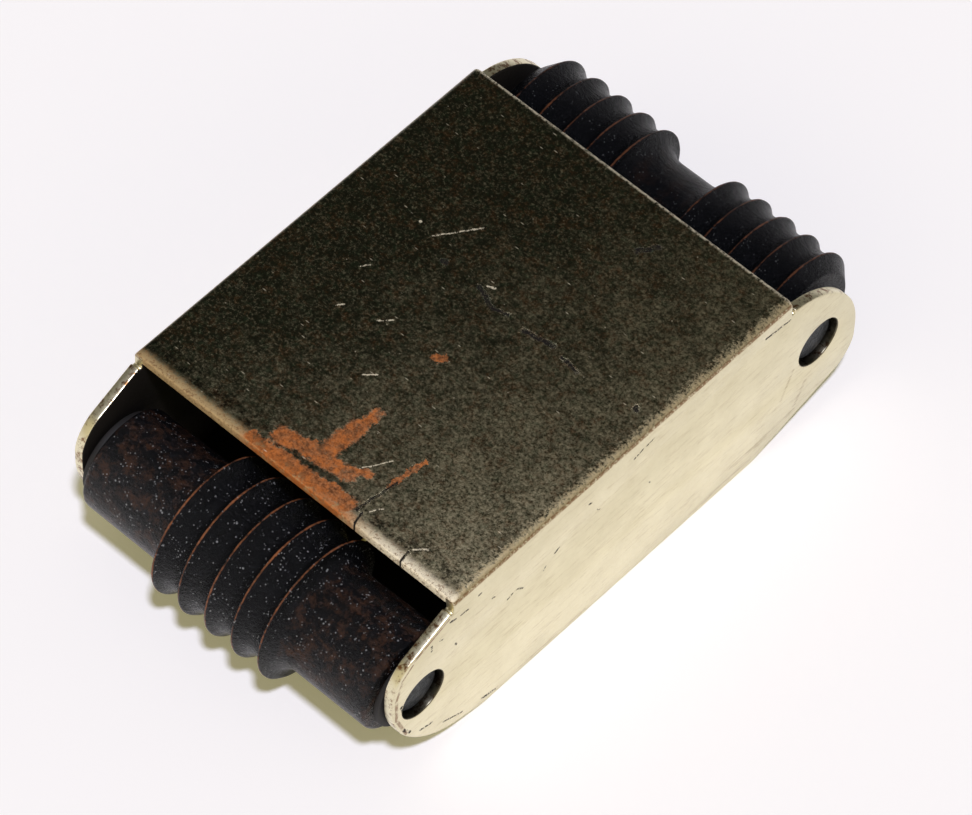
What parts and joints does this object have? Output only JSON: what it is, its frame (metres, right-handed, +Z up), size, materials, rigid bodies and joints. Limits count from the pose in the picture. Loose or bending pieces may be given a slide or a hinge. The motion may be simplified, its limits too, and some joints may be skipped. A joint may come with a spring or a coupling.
{
  "type": "two-roller unit",
  "caption": "Pocket-size pressed metal case with a free-turning ribbed roller across each open end, carried on axles between ears.",
  "frame": {"origin": "middle of the underside, on the surface that the case stands on", "axes": "+X along the axles, +Y towards the roller with ribs at both ends, +Z up through the closed top plate"},
  "size_m": [0.0322, 0.056, 0.0175],
  "materials": {
    "nickel_plate": "tarnished and scratched nickel plate on steel, worn at the edges",
    "hard_rubber": "hard black rubber, browned on the plain parts and rubbed to a copper brown on the rib crests",
    "dark_steel": "blackened steel",
    "fibre": "black vulcanised fibre"
  },
  "bodies": {
    "case": {"case": "nickel_plate"},
    "front_roller": {"front_roller": "hard_rubber", "front_axle": "dark_steel", "front_left_washer": "fibre", "front_right_washer": "fibre"},
    "rear_roller": {"rear_roller": "hard_rubber", "rear_axle": "dark_steel", "rear_left_washer": "fibre", "rear_right_washer": "fibre"}
  },
  "joints": [
    {"name": "front_roller_spin", "type": "hinge", "parent": "case", "child": "front_roller", "pos_m": [0, -0.02185, 0.0089], "axis": [1, 0, 0], "continuous": true},
    {"name": "rear_roller_spin", "type": "hinge", "parent": "case", "child": "rear_roller", "pos_m": [0, 0.02185, 0.0089], "axis": [1, 0, 0], "continuous": true}
  ]
}
